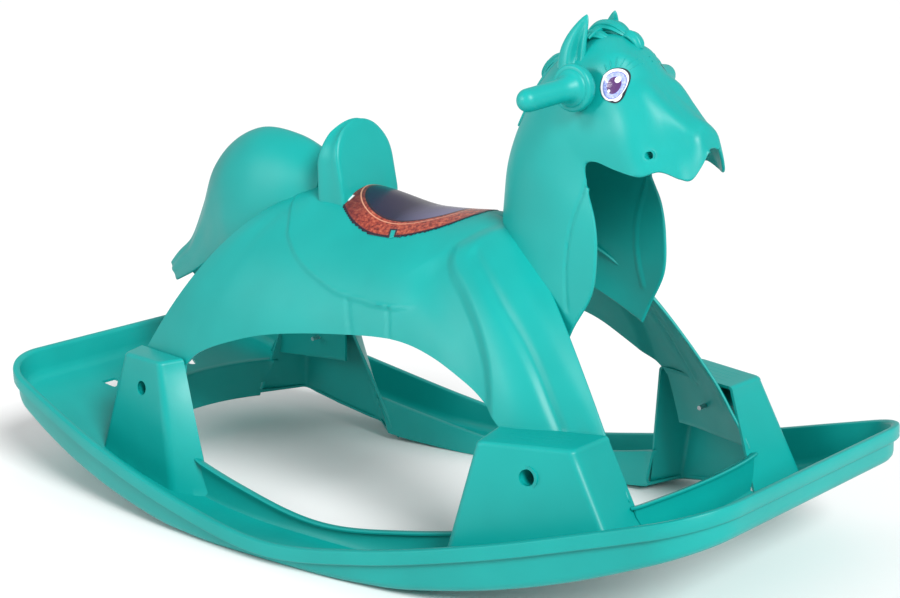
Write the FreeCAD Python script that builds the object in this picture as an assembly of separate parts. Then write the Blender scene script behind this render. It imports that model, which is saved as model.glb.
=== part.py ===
import FreeCAD, Part
import math
import os

# Moulded plastic rocking horse. Millimetres, +X towards the nose, +Y to the horse's left, +Z up.
# The origin is on the floor, under the middle of the rocker.

Vec = FreeCAD.Vector

# ---- rocker tray ----
TRAY_HALF_LENGTH = 462.0     # to the outside of the end walls
TRAY_HALF_WIDTH = 226.0      # outside of the side walls, at the middle
TRAY_END_HALF_WIDTH = 172.0  # where the bowed sides would meet the end walls
TRAY_CORNER_RADIUS = 62.0
SLAB_WIDTH = 600.0           # wider than the toy, for cutting shapes right across it
TALL = 260.0                 # higher than any cut needs to reach
WALL = 3.0                   # general moulding thickness
RIM_OVERHANG = 5.0           # how far the rim stands outside the wall
RIM_DEPTH = 14.0
RIM_LINE = [(0, 22), (120, 37), (250, 65), (370, 97), (480, 128)]       # x, top of the rim
SOLE_LINE = [(70, 0), (120, 2), (175, 7), (273, 26), (365, 53), (480, 97)]  # x, underside; flat before
LIP_DROP = 2.0               # inner lip below the rim
LIP_WIDTH = 7.0
OPENING_CUT = (-50.0, 300.0)            # from under the tray to over its rim
OPENING_HALF_WIDTH = 150.0
OPENING_SIDE_ENDS = ((-178.0, 138.0), (174.0, 149.0))  # the long sides run between the pedestals
OPENING_FRONT = (336.0, 93.0, 350.0)    # corner x, corner y, middle x
OPENING_REAR = (-322.0, 100.0, -338.0)
FLOOR_OPENING = [(-424, 69), (-424, 46), (-408, 61)]     # x, y of the three-cornered holes in the tray's floor
FLOOR_OPENING_R = 2.5

# ---- pedestals: corners seen from above, near side; the far side is the mirror ----
PEDESTAL_TOP = 146.0
FRONT_TOP = [(217, 124), (238, 176), (311, 150), (311, 99)]
FRONT_FOOT = [(148, 168), (165, 196), (390, 152), (367, 77)]
REAR_TOP = [(-219, 122), (-228, 148), (-293, 139), (-302, 109)]
REAR_FOOT = [(-159, 145), (-200, 165), (-335, 162), (-356, 88)]
FOOT_Z = -10.0               # where the pedestals' tapers are measured, under the tray
LEG_ROOM = 45.0              # how far the hollow of a pedestal is open towards the horse
SCREW_HOLE_R = 7.5           # screwdriver hole in each pedestal
FRONT_HOLE = (272.0, 118.0)  # x, z
REAR_HOLE = (-258.0, 114.0)
WELL_WALL = 3.0              # wall and floor of the deep well behind each screwdriver hole
WELL_RECESS = 1.0            # how far the well's mouth stays behind the outside of the pedestal
FIT_GAP = 0.3                # between mouldings that lie against each other

# ---- horse body: ribs from the ridge of the back down to the legs' lower ends ----
LEG_END_Z = 90.0
# ridge x, ridge z, end x, end half width, and how soon y, z and x travel along the rib
BODY_RIBS = [
    (-126, 315, -330, 110, 1.70, 2.0, 1.40),
    (-118, 316, -288, 117, 1.80, 1.9, 1.30),
    (-110, 316, -246, 123, 1.85, 1.8, 1.25),
    (-98, 315, -208, 125, 1.90, 1.8, 1.20),
    (-66, 313, -160, 126, 1.90, 1.8, 1.20),
    (-30, 311, -100, 126, 1.90, 1.8, 1.20),
    (6, 309, -22, 126, 1.90, 1.8, 1.20),
    (42, 309, 72, 127, 1.90, 1.8, 1.20),
    (70, 310, 135, 129, 1.90, 1.8, 1.20),
    (88, 311, 180, 130, 1.90, 1.8, 1.15),
    (100, 311, 216, 129, 1.85, 1.8, 1.10),
    (107, 310, 252, 125, 1.80, 1.8, 1.05),
    (112, 309, 292, 114, 1.60, 1.85, 1.00),
    (115, 308, 333, 98, 1.35, 1.9, 1.00),
]
RIB_STEPS = 9
BELLY_ARCH = [(-218, 138), (-196, 155), (-152, 172), (-94, 187), (-10, 198), (70, 203), (125, 194),
              (170, 174), (206, 150), (218, 138)]      # x, z of the flanks' lower edge
ARCH_FOOT = ((-226, 60), (236, 60))

# ---- neck and head: ribs from the crest of the neck and face round to the open front edge ----
# crest x, crest z, edge x, edge half width, edge z, and how soon y, z and x travel along the rib
NECK_RIBS = [
    (119, 284, 236, 62, 208, 2.0, 1.1, 1.30),
    (119, 306, 246, 62, 228, 2.0, 1.1, 1.30),
    (122, 332, 264, 58, 260, 2.1, 1.1, 1.35),
    (128, 365, 268, 55, 296, 2.2, 1.1, 1.40),
    (140, 394, 265, 53, 326, 2.3, 1.15, 1.45),
    (156, 420, 256, 50, 352, 2.4, 1.2, 1.50),
    (174, 445, 252, 48, 374, 2.5, 1.3, 1.50),
    (197, 467, 264, 48, 379, 2.4, 1.5, 1.50),
    (225, 483, 287, 48, 373, 2.3, 1.7, 1.50),
    (254, 486, 310, 47, 369, 2.2, 1.8, 1.50),
    (284, 472, 329, 43, 374, 2.1, 1.8, 1.50),
    (314, 441, 348, 38, 368, 2.0, 1.8, 1.50),
    (340, 421, 357, 31, 367, 1.9, 1.8, 1.50),
    (357, 412, 362, 21, 378, 1.8, 1.7, 1.50),
    (363, 391, 364, 10, 389, 1.8, 1.3, 1.50),
]
EAR_TIP = (237, 21, 508)
EAR_FOOT = (228, 26, 464)
EAR_FOOT_R = 13.0
EAR_TIP_R = 1.5
CHEEK_HOLE = (317.0, 387.0)
CHEEK_HOLE_R = 3.5

# ---- back rest and tail ----
SADDLE_TOP_Z = 316.5         # the highest that the back gets under them
BACKREST_SIDE = [(-93, 270), (-90, 391), (-68, 391), (-46, 322), (-46, 270)]    # x, z seen from the side
BACKREST_HALF_WIDTH = 41.0
BACKREST_TOP = 391.0
BACKREST_ROUND = 9.0
# crest x, crest z, edge x, edge half width, edge z, and how soon y, z and x travel along the rib
TAIL_RIBS = [
    (-108, 346, -112, 25, 300, 2.0, 1.6, 1.0),
    (-126, 358, -131, 32, 300, 2.0, 1.6, 1.0),
    (-160, 370, -158, 40, 300, 2.0, 1.6, 1.0),
    (-206, 374, -192, 45, 290, 2.0, 1.6, 1.0),
    (-250, 358, -222, 44, 270, 2.0, 1.6, 1.0),
    (-285, 327, -246, 38, 247, 2.0, 1.6, 1.0),
    (-304, 287, -274, 31, 228, 2.0, 1.6, 1.0),
    (-327, 247, -303, 25, 213, 2.0, 1.6, 1.0),
    (-352, 227, -327, 19, 203, 2.0, 1.6, 1.0),
    (-366, 212, -345, 13, 196, 2.0, 1.6, 1.0),
]

# ---- hand grips ----
GRIP_AXIS = (246.0, 444.0)         # x, z of the cross axis through the head
GRIP_FLANGE_Y = (52.0, 58.0)
GRIP_FLANGE_R = 21.5
GRIP_BOSS_R = 16.0
GRIP_BOSS_LENGTH = 6.0
GRIP_R = 10.5
GRIP_ROOT = 2.0                    # how deep the rod starts inside the flange
PLUG_OVERLAP = 1.0                 # how far the plug and its socket run into the flanges
GRIP_END = (234.5, 103.0, 438.0)   # centre of the rounded end
SPIGOT_R = 7.0
SPIGOT_REACH = 24.0                # how far the plug goes past the middle
BORE_REACH = 30.0
SOCKET_R = 10.0
GRIP_FIT = 0.15
LOCK_Y = 12.0
LOCK_LENGTH = 14.0
LOCK_HOLE_LENGTH = 15.0

# ---- screws ----
SCREW_R = 2.2
SCREW_HEAD_R = 4.6
SCREW_HEAD_H = 2.8
RECESS_WIDTH = 1.2
RECESS_DEPTH = 1.4
HOLE_PLAY = 0.02             # round a screw, in radius
BOSS_R = 6.0
BOSS_LENGTH = 16.0
LEG_SCREW_LENGTH = 17.0
SADDLE_SCREW_LENGTH = 16.0
BACKREST_SCREWS = [(-68.0, -33.0), (-68.0, 33.0)]       # x, y
BACKREST_SCREW_Z = 299.5                                # under side of their heads
TAIL_SCREWS = [(-112.0, -13.0), (-112.0, 13.0)]
TAIL_SCREW_Z = 310.0
TAIL_LUG = (-120.0, -100.0, 21.0)                       # rear x, front x, half width
NECK_SCREWS = [(98.0, -13.0), (98.0, 13.0)]
NECK_TONGUE = (88.0, 124.0, 22.0)
NECK_TONGUE_Z = (289.0, 293.0)

# ---- labels ----
LABEL_GAP = 0.25
LABEL_THICKNESS = 0.6
LABEL_MIDDLE_X = 12.0
LABEL_HALF_LENGTH = 88.0
LABEL_HALF_WIDTH = 61.0
LABEL_LOWEST = 240.0
LABEL_MARGIN = 1.0           # kept clear of the back rest
EYE_MIDDLE = (287.0, 447.0)        # x, z
EYE_R = 15.0


def save(shape, node):
    print(node, shape.isValid(), len(shape.Solids), round(shape.Volume), shape.BoundBox)
    shape.exportStep("parts/" + node + ".step")


def mirrored(shape):
    """The same piece on the other side of the horse."""
    return shape.mirror(Vec(0, 0, 0), Vec(0, 1, 0))


def smooth_curve(points):
    curve = Part.BSplineCurve()
    curve.interpolate(points)
    return curve.toShape()


def solid_between(outer_rows, inner_rows):
    """A closed skin between two grids of points."""
    skins = []
    for rows in (outer_rows, inner_rows):
        surface = Part.BSplineSurface()
        surface.interpolate(rows)
        skins.append(surface)
    faces = [skin.toShape() for skin in skins]
    u0, u1, v0, v1 = skins[0].bounds()
    for u in (u0, u1):
        faces.append(Part.makeRuledSurface(skins[0].uIso(u).toShape(), skins[1].uIso(u).toShape()))
    for v in (v0, v1):
        faces.append(Part.makeRuledSurface(skins[0].vIso(v).toShape(), skins[1].vIso(v).toShape()))
    shell = Part.makeShell(faces)
    shell.sewShape()
    solid = Part.makeSolid(Part.Shell(shell.Faces))
    if solid.Volume < 0:
        solid.reverse()
    return solid


def grid_normal(rows, i, j):
    """Unit normal of the grid at a point, from its neighbours."""
    row = rows[i]
    along = rows[min(i + 1, len(rows) - 1)][j] - rows[max(i - 1, 0)][j]
    across = row[min(j + 1, len(row) - 1)] - row[max(j - 1, 0)]
    return across.cross(along).normalize()


def offset_rows(rows, distance):
    """The same grid moved outwards along its own normals."""
    i = len(rows) // 2
    j = len(rows[i]) // 2
    upwards = rows[i][j] - (rows[i][0] + rows[i][-1]) * 0.5
    outward = math.copysign(1.0, grid_normal(rows, i, j).dot(upwards))
    return [[point + grid_normal(rows, i, j) * (outward * distance) for j, point in enumerate(row)]
            for i, row in enumerate(rows)]


def thin_skin(rows, low, high):
    """A moulding that follows the grid, from low to high along its outward normals."""
    return solid_between(offset_rows(rows, high), offset_rows(rows, low))


def rib_point(station, s):
    """A point on a rib: s is 0 on the middle line, 1 on the left edge and -1 on the right edge."""
    mid_x, mid_z, edge_x, edge_y, edge_z, y_power, z_power, x_power = station
    t = abs(s)
    x = mid_x + (edge_x - mid_x) * t ** x_power
    y = math.copysign(edge_y * (1 - (1 - t) ** y_power), s)
    z = mid_z + (edge_z - mid_z) * t ** z_power
    return Vec(x, y, z)


def rib(station, reach=1.0, steps=RIB_STEPS):
    return [rib_point(station, reach * i / steps) for i in range(-steps, steps + 1)]


def body_stations():
    return [(rx, rz, ex, ey, LEG_END_Z, py, pz, px) for rx, rz, ex, ey, py, pz, px in BODY_RIBS]


# ---------------------------------------------------------------- rocker base
def tray_prism(inset, z_low, z_high):
    """The tray's plan shape, pulled in by inset and extruded upwards."""
    x = TRAY_HALF_LENGTH - inset
    y = TRAY_END_HALF_WIDTH - inset
    middle = TRAY_HALF_WIDTH - inset
    near = Part.Arc(Vec(-x, -y, z_low), Vec(0, -middle, z_low), Vec(x, -y, z_low)).toShape()
    far = Part.Arc(Vec(x, y, z_low), Vec(0, middle, z_low), Vec(-x, y, z_low)).toShape()
    nose_end = Part.makeLine(Vec(x, -y, z_low), Vec(x, y, z_low))
    tail_end = Part.makeLine(Vec(-x, y, z_low), Vec(-x, -y, z_low))
    face = Part.Face(Part.Wire([near, nose_end, far, tail_end]))
    prism = face.extrude(Vec(0, 0, z_high - z_low))
    uprights = [e for e in prism.Edges if abs(e.tangentAt(e.FirstParameter).z) > 0.99]
    return prism.makeFillet(TRAY_CORNER_RADIUS - inset, uprights)


def profile_edges(line, lift):
    """A rocker line seen from the side, the same towards both ends and level at its start."""
    points = [Vec(x, 0, z + lift) for x, z in line]
    curve = Part.BSplineCurve()
    curve.interpolate(Points=points, InitialTangent=Vec(1, 0, 0), FinalTangent=points[-1] - points[-2])
    right = curve.toShape()
    left = right.mirror(Vec(0, 0, 0), Vec(1, 0, 0))
    if points[0].x > 0:
        return [left, Part.makeLine(Vec(-points[0].x, 0, points[0].z), points[0]), right]
    return [left, right]


def slab(low_line, low_lift, high_line, high_lift):
    """Everything between two rocker lines, right across the toy."""
    reach = low_line[-1][0]
    ends = [Part.makeLine(Vec(x, 0, low_line[-1][1] + low_lift), Vec(x, 0, high_line[-1][1] + high_lift))
            for x in (-reach, reach)]
    edges = profile_edges(low_line, low_lift) + profile_edges(high_line, high_lift) + ends
    face = Part.Face(Part.Wire(Part.__sortEdges__(edges)))
    return face.extrude(Vec(0, SLAB_WIDTH, 0)).translated(Vec(0, -SLAB_WIDTH / 2, 0))


def opening_prism(outset):
    """The big opening in the middle of the tray, made larger by outset."""
    front_x, front_y, front_mid = OPENING_FRONT
    rear_x, rear_y, rear_mid = OPENING_REAR
    (side_rear_x, side_rear_y), (side_front_x, side_front_y) = OPENING_SIDE_ENDS
    side_y = OPENING_HALF_WIDTH + outset
    a = Vec(side_rear_x - outset, -side_rear_y - outset, 0)
    b = Vec(side_front_x + outset, -side_front_y - outset, 0)
    c = Vec(front_x + outset, -front_y - outset, 0)
    d = Vec(c.x, -c.y, 0)
    e = Vec(b.x, -b.y, 0)
    f = Vec(a.x, -a.y, 0)
    g = Vec(rear_x - outset, rear_y + outset, 0)
    h = Vec(g.x, -g.y, 0)
    edges = [
        Part.Arc(a, Vec(0, -side_y, 0), b).toShape(),
        Part.makeLine(b, c),
        Part.Arc(c, Vec(front_mid + outset, 0, 0), d).toShape(),
        Part.makeLine(d, e),
        Part.Arc(e, Vec(0, side_y, 0), f).toShape(),
        Part.makeLine(f, g),
        Part.Arc(g, Vec(rear_mid - outset, 0, 0), h).toShape(),
        Part.makeLine(h, a),
    ]
    face = Part.Face(Part.Wire(edges))
    low, high = OPENING_CUT
    return face.extrude(Vec(0, 0, high - low)).translated(Vec(0, 0, low))


def pedestal_loft(top, foot, inset, open_side):
    """One tapering pedestal on the near side, pulled in by inset; its inner side moves by open_side."""
    def ring(corners, z):
        centre_x = sum(c[0] for c in corners) / 4
        points = []
        for i, (x, y) in enumerate(corners):
            px = x - math.copysign(inset, x - centre_x)
            py = y - inset if i in (1, 2) else y - open_side
            points.append(Vec(px, -py, z))
        return Part.makePolygon(points + [points[0]])
    return Part.makeLoft([ring(foot, FOOT_Z), ring(top, PEDESTAL_TOP - inset)], True, True)


def above(z):
    """All space over a height."""
    return Part.makeBox(2 * SLAB_WIDTH, SLAB_WIDTH, SLAB_WIDTH, Vec(-SLAB_WIDTH, -SLAB_WIDTH / 2, z))


def pedestal_walls():
    """The side walls of the four pedestals with a fitting gap, which the legs are trimmed back from."""
    walls = []
    for top, foot in ((FRONT_TOP, FRONT_FOOT), (REAR_TOP, REAR_FOOT)):
        wall = pedestal_loft(top, foot, 0.0, 0.0).cut(pedestal_loft(top, foot, WALL + FIT_GAP, LEG_ROOM))
        wall = wall.cut(above(PEDESTAL_TOP - 2 * WALL))
        walls += [wall, mirrored(wall)]
    return walls


def screw_axes():
    """Where each foot's screw goes in: start on the outside, and the side it comes from."""
    axes = []
    for x, z in (FRONT_HOLE, REAR_HOLE):
        for side in (-1, 1):
            axes.append((x, side, z))
    return axes


def floor_openings():
    """The three-cornered holes through the rear of the tray's floor, one on each side."""
    corners = [Vec(x, -y, 0) for x, y in FLOOR_OPENING]
    prism = Part.Face(Part.makePolygon(corners + [corners[0]])).extrude(Vec(0, 0, TALL))
    uprights = [e for e in prism.Edges if abs(e.tangentAt(e.FirstParameter).z) > 0.99]
    prism = prism.makeFillet(FLOOR_OPENING_R, uprights)
    return [prism, mirrored(prism)]


def cross_hit(shape, x, z):
    """The nearest and farthest y where a cross line on the left side meets the shape."""
    line = Part.makeLine(Vec(x, 0, z), Vec(x, SLAB_WIDTH / 2, z))
    ys = [v.Point.y for v in shape.common(line).Vertexes]
    return min(ys), max(ys)


def screw_well(base, leg, side, x, z):
    """The deep well from a screwdriver hole to the leg: the tube, and the hole down it."""
    floor_y = cross_hit(leg, x, z)[1] + FIT_GAP
    mouth_y = cross_hit(base, x, z)[1]
    out = Vec(0, side, 0)
    length = mouth_y - floor_y - WELL_RECESS
    tube = Part.makeCylinder(SCREW_HOLE_R + WELL_WALL, length, Vec(x, side * floor_y, z), out)
    hole = Part.makeCylinder(SCREW_HOLE_R, SLAB_WIDTH / 2, Vec(x, side * (floor_y + WELL_WALL), z), out)
    shank = Part.makeCylinder(SCREW_R + HOLE_PLAY, SLAB_WIDTH / 2, Vec(x, 0, z), out)
    return tube, hole.fuse(shank)


def rocker_base(body_skin):
    above_sole = slab(SOLE_LINE, 0.0, RIM_LINE, TALL)
    whole = tray_prism(0.0, -TALL, TALL).common(slab(SOLE_LINE, 0.0, RIM_LINE, 0.0))
    room = tray_prism(WALL, -TALL, TALL).common(slab(SOLE_LINE, WALL, RIM_LINE, TALL))
    rim = tray_prism(-RIM_OVERHANG, -TALL, TALL).common(slab(RIM_LINE, -RIM_DEPTH, RIM_LINE, 0.0))
    under_rim = tray_prism(WALL - RIM_OVERHANG, -TALL, TALL)
    under_rim = under_rim.common(slab(RIM_LINE, -2 * RIM_DEPTH, RIM_LINE, -WALL))
    rim = rim.cut(under_rim).cut(tray_prism(WALL, -TALL, TALL))
    lip = opening_prism(LIP_WIDTH).common(slab(RIM_LINE, -LIP_DROP - WALL, RIM_LINE, -LIP_DROP))
    lip_wall = opening_prism(WALL).common(slab(SOLE_LINE, 0.0, RIM_LINE, -LIP_DROP))
    tray = whole.cut(room).fuse([rim, lip, lip_wall]).cut([opening_prism(0.0)] + floor_openings())
    for top, foot in ((FRONT_TOP, FRONT_FOOT), (REAR_TOP, REAR_FOOT)):
        outer = pedestal_loft(top, foot, 0.0, 0.0).common(above_sole)
        hollow = pedestal_loft(top, foot, WALL, LEG_ROOM)
        tray = tray.fuse([outer, mirrored(outer)]).cut([hollow, mirrored(hollow)])
    leg_slot = thin_skin(body_rows(), -WALL - FIT_GAP, FIT_GAP).common(above(PEDESTAL_TOP - 2 * WALL))
    tray = max(tray.cut(leg_slot).Solids, key=lambda solid: solid.Volume)
    leg_space = thin_skin(body_rows(), -BOSS_LENGTH, FIT_GAP)
    for x, side, z in screw_axes():
        tube, hole = screw_well(tray, body_skin, side, x, z)
        tray = tray.fuse(tube.cut(leg_space)).cut(hole)
    return tray.removeSplitter().Solids[0]


# ---------------------------------------------------------------- horse
def belly_arch():
    """The space under the belly, between the front and rear legs."""
    arch = smooth_curve([Vec(x, 0, z) for x, z in BELLY_ARCH])
    first = Vec(BELLY_ARCH[0][0], 0, BELLY_ARCH[0][1])
    last = Vec(BELLY_ARCH[-1][0], 0, BELLY_ARCH[-1][1])
    rear_foot = Vec(ARCH_FOOT[0][0], 0, ARCH_FOOT[0][1])
    front_foot = Vec(ARCH_FOOT[1][0], 0, ARCH_FOOT[1][1])
    sides = [
        Part.makeLine(last, front_foot),
        Part.makeLine(front_foot, rear_foot),
        Part.makeLine(rear_foot, first),
    ]
    face = Part.Face(Part.Wire(Part.__sortEdges__([arch] + sides)))
    return face.extrude(Vec(0, SLAB_WIDTH, 0)).translated(Vec(0, -SLAB_WIDTH / 2, 0))


def body_rows():
    return [rib(s) for s in body_stations()]


def neck_rows():
    return [rib(s) for s in NECK_RIBS]


def ridge_z(x):
    """Height of the outside of the back on the middle line, between its first and last ribs."""
    for (x0, z0), (x1, z1) in zip([s[:2] for s in BODY_RIBS], [s[:2] for s in BODY_RIBS[1:]]):
        if x0 <= x <= x1:
            return z0 + (z1 - z0) * (x - x0) / (x1 - x0)


def screw_hole(x, y, z, length):
    return Part.makeCylinder(SCREW_R + HOLE_PLAY, length, Vec(x, y, z), Vec(0, 0, 1))


def body_shell():
    """The back, flanks and legs, with bosses for the leg screws and the neck screws."""
    skin = thin_skin(body_rows(), -WALL, 0.0).cut(belly_arch())
    shell = skin.cut(thin_skin(neck_rows(), -WALL - FIT_GAP, FIT_GAP)).cut(pedestal_walls())
    shell = max(shell.Solids, key=lambda solid: solid.Volume)
    outside = thin_skin(body_rows(), -0.5 * WALL, 2 * BOSS_LENGTH)
    for x, side, z in screw_axes():
        face_y = cross_hit(skin, x, z)[1]
        boss = Part.makeCylinder(BOSS_R, BOSS_LENGTH, Vec(x, side * face_y, z), Vec(0, -side, 0))
        hole = Part.makeCylinder(SCREW_R + HOLE_PLAY, 2 * BOSS_LENGTH, Vec(x, side * (face_y + BOSS_R), z),
                                 Vec(0, -side, 0))
        shell = shell.fuse(boss.cut(outside)).cut(hole)
    for x, y in NECK_SCREWS:
        low = NECK_TONGUE_Z[1] + FIT_GAP
        boss = Part.makeCylinder(BOSS_R, ridge_z(x) - low, Vec(x, y, low), Vec(0, 0, 1))
        hole = screw_hole(x, y, low - WALL, SADDLE_SCREW_LENGTH)
        shell = shell.fuse(boss.cut(outside)).cut(hole)
    for x, y in BACKREST_SCREWS + TAIL_SCREWS:
        shell = shell.cut(screw_hole(x, y, LABEL_LOWEST, TALL))
    return max(shell.Solids, key=lambda solid: solid.Volume)


def ear():
    tip = Part.Wire(Part.makeCircle(EAR_TIP_R, Vec(EAR_TIP[0], EAR_TIP[1], EAR_TIP[2] - EAR_TIP_R)))
    foot = Part.Wire(Part.makeCircle(EAR_FOOT_R, Vec(*EAR_FOOT)))
    return Part.makeLoft([foot, tip], True)


def neck_head():
    shell = thin_skin(neck_rows(), -WALL, 0.0)
    one_ear = ear()
    rear_x, front_x, half_width = NECK_TONGUE
    low, high = NECK_TONGUE_Z
    tongue = Part.makeBox(front_x - rear_x, 2 * half_width, high - low, Vec(rear_x, -half_width, low))
    shell = shell.fuse([one_ear, mirrored(one_ear), tongue])
    for x, y in NECK_SCREWS:
        shell = shell.cut(screw_hole(x, y, low - WALL, high - low + 2 * WALL))
    x, z = GRIP_AXIS
    across = SLAB_WIDTH / 2
    shell = shell.cut(Part.makeCylinder(SOCKET_R + GRIP_FIT, SLAB_WIDTH, Vec(x, -across, z), Vec(0, 1, 0)))
    x, z = CHEEK_HOLE
    shell = shell.cut(Part.makeCylinder(CHEEK_HOLE_R, SLAB_WIDTH, Vec(x, -across, z), Vec(0, 1, 0)))
    return max(shell.Solids, key=lambda solid: solid.Volume)


def arched_block(inset):
    """The back rest's outline from behind, carried forwards between its sloping faces."""
    w = BACKREST_HALF_WIDTH - inset
    top = BACKREST_TOP - inset
    shoulder = top - w
    x0 = BACKREST_SIDE[0][0]
    foot = BACKREST_SIDE[0][1]
    left = Part.makeLine(Vec(x0, -w, foot), Vec(x0, -w, shoulder))
    round_top = Part.Arc(Vec(x0, -w, shoulder), Vec(x0, 0, top), Vec(x0, w, shoulder)).toShape()
    right = Part.makeLine(Vec(x0, w, shoulder), Vec(x0, w, foot))
    bottom = Part.makeLine(Vec(x0, w, foot), Vec(x0, -w, foot))
    arch = Part.Face(Part.Wire([left, round_top, right, bottom])).extrude(Vec(TALL, 0, 0))
    middle_x = sum(x for x, z in BACKREST_SIDE) / len(BACKREST_SIDE)
    side = [Vec(x - inset * math.copysign(1.0, x - middle_x), -w, z) for x, z in BACKREST_SIDE]
    wedge = Part.Face(Part.makePolygon(side + [side[0]])).extrude(Vec(0, 2 * w, 0))
    return arch.common(wedge)


def backrest():
    """A hollow block over the back of the saddle, with two screw bosses inside."""
    block = arched_block(0.0)
    exposed = [e for e in block.Edges if e.BoundBox.ZMax > SADDLE_TOP_Z + BACKREST_ROUND]
    edges = [e for e in exposed if e.BoundBox.YLength > 1]
    block = block.makeFillet(BACKREST_ROUND, edges)
    shell = block.cut(arched_block(WALL))
    for x, y in BACKREST_SCREWS:
        foot = Vec(x, y, BACKREST_SIDE[0][1])
        boss = Part.makeCylinder(BOSS_R, SADDLE_TOP_Z + BOSS_LENGTH - foot.z, foot, Vec(0, 0, 1))
        shell = shell.fuse(boss.common(block)).cut(screw_hole(x, y, foot.z, boss.BoundBox.ZLength - WALL))
    return shell.cut(under_skin()).Solids[0]


def under_skin():
    """The horse's back and everything just under it, with a fitting gap."""
    return thin_skin(body_rows(), -BOSS_LENGTH * 2, FIT_GAP)


def tail():
    """The tail's shell, open below, standing on the rump with a lug inside its root."""
    skin = thin_skin([rib(s) for s in TAIL_RIBS], -WALL, 0.0)
    rear_x, front_x, half_width = TAIL_LUG
    lug = thin_skin(body_rows(), FIT_GAP, FIT_GAP + WALL)
    corner = Vec(rear_x, -half_width, LABEL_LOWEST)
    lug = lug.common(Part.makeBox(front_x - rear_x, 2 * half_width, TALL, corner))
    shell = skin.fuse(lug)
    hole_top = SADDLE_TOP_Z + BOSS_LENGTH - 2 * WALL
    for x, y in TAIL_SCREWS:
        boss = Part.makeCylinder(BOSS_R, BOSS_LENGTH, Vec(x, y, SADDLE_TOP_Z - WALL), Vec(0, 0, 1))
        shell = shell.fuse(boss).cut(screw_hole(x, y, LABEL_LOWEST, hole_top - LABEL_LOWEST))
    shell = shell.cut(under_skin())
    return max(shell.Solids, key=lambda solid: solid.Volume)


# ---------------------------------------------------------------- grips and their lock
def grip(side):
    """One hand grip: flange, boss, swept rod with a round end, and its half of the plug joint."""
    x, z = GRIP_AXIS
    inner_y, outer_y = GRIP_FLANGE_Y
    out = Vec(0, side, 0)
    flange = Part.makeCylinder(GRIP_FLANGE_R, outer_y - inner_y, Vec(x, side * inner_y, z), out)
    boss = Part.makeCone(GRIP_BOSS_R, GRIP_R, GRIP_BOSS_LENGTH, Vec(x, side * outer_y, z), out)
    start = Vec(x, side * (outer_y - GRIP_ROOT), z)
    end = Vec(GRIP_END[0], side * GRIP_END[1], GRIP_END[2])
    along = end - start
    rod = Part.makeCylinder(GRIP_R, along.Length, start, along)
    knob = Part.makeSphere(GRIP_R, end, along, 0, 90)
    return flange.fuse([boss, rod, knob])


def grip_right():
    """The right grip with the plug that goes through the head."""
    x, z = GRIP_AXIS
    start_y = GRIP_FLANGE_Y[0] + PLUG_OVERLAP
    spigot = Part.makeCylinder(SPIGOT_R, start_y + SPIGOT_REACH, Vec(x, -start_y, z), Vec(0, 1, 0))
    lock_foot = Vec(x, LOCK_Y, z - SOCKET_R)
    lock = Part.makeCylinder(SCREW_R + HOLE_PLAY, LOCK_HOLE_LENGTH, lock_foot, Vec(0, 0, 1))
    return grip(-1).fuse(spigot).cut(lock).Solids[0]


def grip_left():
    """The left grip with the socket that takes the plug."""
    x, z = GRIP_AXIS
    start_y = GRIP_FLANGE_Y[0] + PLUG_OVERLAP
    tube = Part.makeCylinder(SOCKET_R, start_y, Vec(x, start_y, z), Vec(0, -1, 0))
    bore_foot = Vec(x, -PLUG_OVERLAP, z)
    bore = Part.makeCylinder(SPIGOT_R + GRIP_FIT, BORE_REACH + PLUG_OVERLAP, bore_foot, Vec(0, 1, 0))
    lock_foot = Vec(x, LOCK_Y, z - SOCKET_R - WALL)
    lock = Part.makeCylinder(SCREW_R + HOLE_PLAY, SOCKET_R + WALL, lock_foot, Vec(0, 0, 1))
    return grip(1).fuse(tube).cut(bore).cut(lock).Solids[0]


def screw(length, start, direction):
    """A pan head screw with a cross recess: start is under its head, direction the way it is driven."""
    shank = Part.makeCylinder(SCREW_R, length, Vec(0, 0, 0), Vec(0, 0, 1))
    head = Part.makeCylinder(SCREW_HEAD_R, SCREW_HEAD_H, Vec(0, 0, -SCREW_HEAD_H), Vec(0, 0, 1))
    outer_rim = [e for e in head.Edges if e.Closed and e.BoundBox.ZMax < -0.5 * SCREW_HEAD_H]
    piece = head.makeFillet(0.4 * SCREW_HEAD_H, outer_rim).fuse(shank)
    for angle in (0, 90):
        bar = Part.makeBox(SCREW_HEAD_R, RECESS_WIDTH, RECESS_DEPTH)
        bar.translate(Vec(-SCREW_HEAD_R / 2, -RECESS_WIDTH / 2, -SCREW_HEAD_H))
        bar.rotate(Vec(0, 0, 0), Vec(0, 0, 1), angle)
        piece = piece.cut(bar)
    piece.Placement = FreeCAD.Placement(start, FreeCAD.Rotation(Vec(0, 0, 1), direction))
    return piece.removeSplitter()


def leg_screws(hole_x, body_skin):
    """The two screws of the front or the rear legs, one from each side."""
    pieces = []
    for x, side, z in screw_axes():
        if x == hole_x:
            head_y = cross_hit(body_skin, x, z)[1] + FIT_GAP + WELL_WALL
            pieces.append(screw(LEG_SCREW_LENGTH, Vec(x, side * head_y, z), Vec(0, -side, 0)))
    return Part.makeCompound(pieces)


def upright_screws(places, under_z):
    """Screws driven straight up, their heads under under_z."""
    up = Vec(0, 0, 1)
    return Part.makeCompound([screw(SADDLE_SCREW_LENGTH, Vec(x, y, under_z), up) for x, y in places])


def grip_lock_screw():
    x, z = GRIP_AXIS
    return screw(LOCK_LENGTH, Vec(x, LOCK_Y, z - SOCKET_R), Vec(0, 0, 1))


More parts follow.
